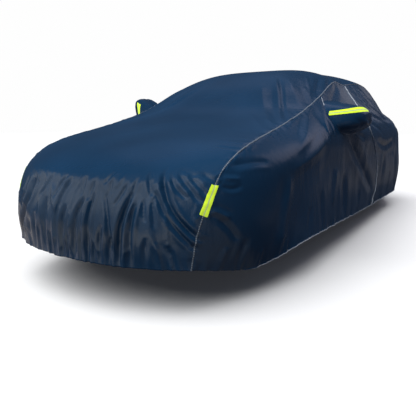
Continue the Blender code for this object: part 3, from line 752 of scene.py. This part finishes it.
def beside_on_side(net):
    """The side net's points next to the long seam, in the seam's order."""
    return net[np.clip(SEAM_ON_SIDE[0], 1, ALONG - 1), np.maximum(SEAM_ON_SIDE[1], 1)]


for name, net, column, inner, flip in (("left", sides[0], -1, -2, False), ("right", sides[1], 0, 1, True)):
    ear = pockets[name][0]
    ahead = net[POCKET_ROWS[0] - 1, :POCKET_DEPTH + 1]
    ahead = at_lines(ahead, np.linspace(0, POCKET_DEPTH, len(EAR_LINES)))
    gusset = GUSSET_LINES[name]
    seams = {
        "long": (top[:, column], beside_on_side(net), top[:, inner]),
        "upright": (net[UPRIGHT, 1:], net[UPRIGHT - 1, 1:], net[UPRIGHT + 1, 1:]),
        "gusset": (ear[0, gusset], ahead[gusset], ear[1, gusset]),
    }
    for title, (line, one, other) in seams.items():
        if flip:
            one, other = other, one
        tape, uv = tape_along(line, one, other, STANDING if title == "upright" else TAPE_RISE)
        bright = np.full(tape.shape[:2], PALE[title])
        piece = sheet_piece("binding_" + title + "_" + name, tape, binding, True, uv=uv, sewn=bright)
        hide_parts("seam_" + title + "_" + name)

# ---------------------------------------------------------------- reflective strips
# Woven reflective tape 45 mm wide, fluorescent yellow with a silver line of glass beads along its
# middle, sewn down along both edges. Four pieces: over the front seams and on the mirror pockets.
STRIP_HALF = 0.0225
STRIP_LINES = 13
SILVER_SHARE = 0.11      # half of the silver line, as a share of the whole width
FRONT_LIFT, POCKET_LIFT = 0.0030, 0.0022         # clearance over the seam's tape, and over plain cloth
#               rows from the hem, shift over the seam
FRONT_STRIPS = {"left": ((52, 84), 0.0), "right": ((55, 86), 0.018)}
STRIP_CELLS = 8          # lines of cloth on each side of the seam that a strip may reach over
STRIP_SPARE = 3          # rows beyond its ends
STRIP_LEAN = 1.6         # rows by which its edges are shifted, which makes its ends square
yellow, tree, shader = new_material("reflective_tape_yellow")
shader.inputs["Roughness"].default_value = 0.38
strip_uv = add_node(tree, "ShaderNodeUVMap", {"uv_map": "tape"}).outputs["UV"]
apart = add_node(tree, "ShaderNodeSeparateXYZ", links={"Vector": strip_uv})
from_middle = add_node(tree, "ShaderNodeMath", {"operation": "ABSOLUTE"}, {0: apart.outputs["Y"]})
silver = add_node(tree, "ShaderNodeMath", {"operation": "LESS_THAN"}, {0: from_middle.outputs[0]})
silver.inputs[1].default_value = SILVER_SHARE
banded = add_node(tree, "ShaderNodeMix", {"data_type": "RGBA"}, {0: silver.outputs[0]})
banded.inputs[MIX_A].default_value = linear("#d6f52a")
banded.inputs[MIX_B].default_value = linear("#8c9094")
tree.links.new(banded.outputs[MIX_COLOUR], shader.inputs["Base Color"])
# Painted light: the tape is given a faint glow of its own, which makes it brighter than the lamps alone
# do.
shader.inputs["Emission Color"].default_value = linear("#d2f046")
shader.inputs["Emission Strength"].default_value = 0.42


def strip_over(one_side, other_side, over):
    """A strip along the long seam: points at distances over - half to over + half from it, measured
    along the cloth on either side. Its rows shift by STRIP_LEAN * v, for v from -1 to 1 across."""
    rows = np.arange(len(one_side) - 2 * STRIP_SPARE) + STRIP_SPARE
    places, uvs = [], []
    for v in np.linspace(-1, 1, STRIP_LINES):
        off = v * STRIP_HALF + over
        lines = at_lines(one_side if off < 0 else other_side, rows + STRIP_LEAN * v)
        at = abs(off) / np.linalg.norm(lines[:, 1] - lines[:, 0], axis=-1)
        low = np.minimum(at.astype(int), lines.shape[1] - 2)
        part = (at - low)[:, None]
        pick = np.arange(len(rows))
        places.append(lines[pick, low] * (1 - part) + lines[pick, low + 1] * part)
        uvs.append(np.stack([np.linspace(0, 1, len(rows)), np.full(len(rows), v / 2)], -1))
    return np.stack(places, 1), np.stack(uvs, 1)


for name, net, step, turned in (("left", sides[0], -1, True), ("right", sides[1], 1, False)):
    (first, last), over = FRONT_STRIPS[name]
    first, last = first - STRIP_SPARE, last + STRIP_SPARE
    on_top = top[first:last, ::step][:, :STRIP_CELLS]
    on_side = net[:STRIP_CELLS, DOWN - last + 1:DOWN - first + 1][:, ::-1].swapaxes(0, 1)
    strip, uv = strip_over(on_side, on_top, over)
    strip = strip - FRONT_LIFT * net_normals(strip, 1 if turned else -1)
    piece = sheet_piece("reflective_front_" + name, strip, yellow, turned, uv=uv)
    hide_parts("strip_front_" + name)

ROUND_ROWS, ROUND_LINES = range(2, 36), 9        # of the left ear, from its front seam to its rear face
ROUND_FACE = 0.031       # height that the strip takes up there
ROUND_ARCH = 0.014       # and how far it arches up
END_AHEAD, END_BEHIND = (0.0, 2.0), (1.0, 4.5)       # rows cut off its ends, upper and lower edge
TURNED_ROWS = np.linspace(0.68, 0.93, 7)         # of the right ear: on its front face
TURNED_LINES = np.linspace(17.0, 24.5, 19)


def strip_round(net, above_brow):
    """The net's points along the left ear: line v of the strip is at ROUND_ARCH * sin(pi * u) -
    ROUND_FACE * v above the brow, for u from 0 to 1 along it, and is cut off by END_AHEAD to
    END_BEHIND."""
    arch = ROUND_ARCH * np.sin(np.linspace(0, np.pi, len(ROUND_ROWS)))
    wanted = arch[:, None] - np.linspace(0, ROUND_FACE, ROUND_LINES)
    picks = [np.interp(-heights, -above_brow[row], np.arange(net.shape[1]))
             for row, heights in zip(ROUND_ROWS, wanted)]
    strip = np.array([at_lines(net[row], pick) for row, pick in zip(ROUND_ROWS, picks)])
    fetch = np.linspace(np.linspace(*END_AHEAD, ROUND_LINES),
                        len(strip) - 1 - np.linspace(*END_BEHIND, ROUND_LINES), len(strip))
    return np.stack([at_lines(strip[:, line], fetch[:, line]) for line in range(ROUND_LINES)], 1)


def strip_upright(net):
    """The net's points on the right ear, at rows and lines that may lie between two of the net's."""
    return at_lines(at_lines(net, TURNED_ROWS).swapaxes(0, 1), TURNED_LINES).swapaxes(0, 1)


for name, turned in (("left", False), ("right", True)):
    ear, above_brow = pockets[name]
    out = net_normals(ear, -1 if turned else 1)
    if turned:
        strip, out = strip_upright(ear), unit(strip_upright(out))
    else:
        strip, out = strip_round(ear, above_brow), strip_round(out, above_brow)
    u, v = np.meshgrid(*(np.linspace(0, 1, size) for size in strip.shape[:2]), indexing="ij")
    uv = np.stack([v, u - 0.5] if turned else [u, v - 0.5], -1)
    piece = sheet_piece("reflective_pocket_" + name, strip + POCKET_LIFT * out, yellow, turned, uv=uv)
    piece.visible_glossy = False        # the cloth beside it doesn't mirror or catch its colour
    piece.visible_diffuse = False
    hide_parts("strip_pocket_" + name)

# ---------------------------------------------------------------- studio
# Plain pale floor at the ground under the cover, a broad soft light above, lamps all round that only
# give it gloss, and the camera at the photograph's angle.
FLOOR_HALF = 30
floor_mesh = bpy.data.meshes.new("studio_floor")
floor_mesh.from_pydata([(x * FLOOR_HALF, y * FLOOR_HALF, -HANG_POINT[2])
                        for x, y in ((-1, -1), (1, -1), (1, 1), (-1, 1))], [], [(0, 1, 2, 3)])
floor = bpy.data.objects.new("studio_floor", floor_mesh)
bpy.context.scene.collection.objects.link(floor)
paper, tree, shader = new_material("matte_paper_white")
shader.inputs["Base Color"].default_value = linear("#fcfcfc")
shader.inputs["Roughness"].default_value = 0.9
shader.inputs["Emission Color"].default_value = linear("#fcfcfc")
shader.inputs["Emission Strength"].default_value = 0.02
floor_mesh.materials.append(paper)
floor.visible_glossy = False        # the cover doesn't mirror the floor, or take light from it
floor.visible_diffuse = False

# The backdrop is white where the camera sees it, and gives the cover only a little light.
world = bpy.data.worlds.new("studio")
world.use_nodes = True
tree = world.node_tree
tree.nodes["Background"].inputs["Color"].default_value = linear("#bcd0f6")
tree.nodes["Background"].inputs["Strength"].default_value = 0.09
seen = add_node(tree, "ShaderNodeBackground", Color=linear("#fefefe"), Strength=1.0)
ray = add_node(tree, "ShaderNodeLightPath")
both = add_node(tree, "ShaderNodeMixShader", links={0: ray.outputs["Is Camera Ray"],
                                                    1: tree.nodes["Background"].outputs[0],
                                                    2: seen.outputs[0]})
tree.links.new(both.outputs[0], tree.nodes["World Output"].inputs["Surface"])
bpy.context.scene.world = world
bpy.context.scene.view_settings.view_transform = "Standard"


WALL, DOOR, HAZE = "#f6eacc", "#f0e6e6", "#e6dcea"
TO_FRONT, TO_CORNER, TO_SIDE = (-0.851, 0.525, 0.0), (0.835, 0.550, 0.0), (1.0, 0.0, 0.0)
# Lamps that shine straight up: name, place, two sides, power, colour, way of the first side.
LOW_LAMPS = (
    ("low_front", (-0.01, -5.21, -1.40), (2.5, 3.9), 32, WALL, TO_FRONT),
    ("low_left", (-2.9, -4.0, -1.40), (3.2, 4.6), 38, "#f4e6da", TO_FRONT),
    ("low_near", (1.85, -3.95, -1.39), (3.4, 2.2), 18, WALL, TO_CORNER),
    ("low_corner", (1.50, -2.40, -1.38), (0.9, 0.8), 0.45, WALL, TO_SIDE),
    ("low_wing", (1.50, -2.50, -1.37), (1.6, 1.5), 0.9, WALL, TO_SIDE),
    ("low_door", (2.30, -0.45, -1.38), (1.0, 1.3), 0.4, DOOR, TO_SIDE),
    ("low_side", (4.6, 2.6, -1.40), (4.0, 7.0), 3, DOOR, TO_SIDE),
    ("low_rear", (1.9, 5.6, -1.39), (1.3, 6.5), 3.0, "#fff0e0", TO_SIDE),
    ("low_yard", (4.5, 12.0, -1.40), (5.5, 6.0), 16, DOOR, TO_SIDE),
)
# The others: name, place, where it points, two sides, power, colour.
LAMPS = (
    ("edge_front", (4.8, -3.1, -0.60), (0.85, -1.9, -0.9), (0.35, 1.6), 2.2, DOOR),
    ("far_front", (-1.2, -8.6, 3.5), (-0.2, -2.3, -0.8), (14.5, 4.6), 265, WALL),
    ("far_low", (-1.2, -8.6, -0.2), (-0.2, -2.3, -0.8), (14.5, 2.1), 55, WALL),
    ("far_left", (-6.2, -4.4, 1.1), (-0.2, -2.3, -0.8), (3.5, 3.2), 30, WALL),
    ("far_rear", (0.6, 9.0, 1.9), (0.75, 0.5, -0.2), (2.2, 1.6), 4, "#e8e2ea"),
    ("far_above", (1.5, -6.9, 5.1), (0.3, -2.3, -0.8), (5.0, 3.2), 48, WALL),
    ("far_sky", (-3.5, 2.9, 5.5), (0.0, -1.1, -0.4), (5.0, 5.0), 12, "#b8c8f4"),
    ("high_rear", (2.6, 2.2, 1.6), (0.3, -0.6, -0.3), (2.6, 2.0), 13, HAZE),
    ("high_middle", (0.5, 0.9, 2.4), (0.5, 0.9, 0.0), (2.0, 1.6), 6, HAZE),
)
STRAIGHT = 0.99          # a lamp counts as shining straight up or down from this upward share on


def placed(thing, axes, place):
    """Put an object at a place, with its own x, y and z along the three columns of axes."""
    thing.matrix_world = Matrix([(*row, shift) for row, shift in zip(axes, place)] + [(0, 0, 0, 1)])
    bpy.context.scene.collection.objects.link(thing)


def soft_light(name, place, target, size, power, colour, way=TO_SIDE):
    """Rectangular area light at a place, aimed at a target. One that shines straight up or down has
    its first side along the way given. Only the high ones light the cover, and the others give it
    gloss, as the floor and the walls of a studio do."""
    lamp = bpy.data.lights.new(name, "AREA")
    lamp.shape = "RECTANGLE"
    lamp.size, lamp.size_y = size
    lamp.energy = power
    lamp.color = linear(colour)[:3]
    holder = bpy.data.objects.new(name, lamp)
    back = unit(np.array(place, float) - target)
    across = unit(np.cross((0.0, 0.0, 1.0), back) if abs(back[2]) < STRAIGHT else np.array(way))
    placed(holder, np.stack([across, np.cross(back, across), back], 1), place)
    holder.visible_camera = False
    holder.visible_diffuse = name.startswith("high")


sky = bpy.data.lights.new("overhead", "SUN")
sky.energy = 3.9
sky.angle = 1.35
overhead = bpy.data.objects.new("overhead", sky)
overhead.matrix_world = Matrix.Rotation(0.40, 4, "X") @ Matrix.Rotation(-0.14, 4, "Y")
overhead.visible_glossy = False
bpy.context.scene.collection.objects.link(overhead)
for name, place, *rest, way in LOW_LAMPS:
    soft_light(name, place, (*place[:2], 0.0), *rest, way)
for lamp in LAMPS:
    soft_light(*lamp)

CAMERA = (1.877, -1.502, 0.968)
TURN = np.radians(33.34)
TIP = np.radians(11.63)
FOCAL_PIXELS = 445.1
FRAME_PIXELS = 416
SHIFT_PIXELS = (-0.6, 4.3)
SENSOR = 36.0            # millimetres across
ahead = np.array((-np.sin(TURN) * np.cos(TIP), np.cos(TURN) * np.cos(TIP), -np.sin(TIP)))
across = np.array((np.cos(TURN), np.sin(TURN), 0.0))
axes = np.stack([across, np.cross(across, ahead), -ahead], 1)
view = bpy.data.cameras.new("photo_view")
view.sensor_width = SENSOR
view.lens = SENSOR * FOCAL_PIXELS / FRAME_PIXELS
view.shift_x, view.shift_y = (pixels / FRAME_PIXELS for pixels in SHIFT_PIXELS)
camera = bpy.data.objects.new("photo_view", view)
placed(camera, axes, CAMERA - HANG_POINT)
bpy.context.scene.camera = camera
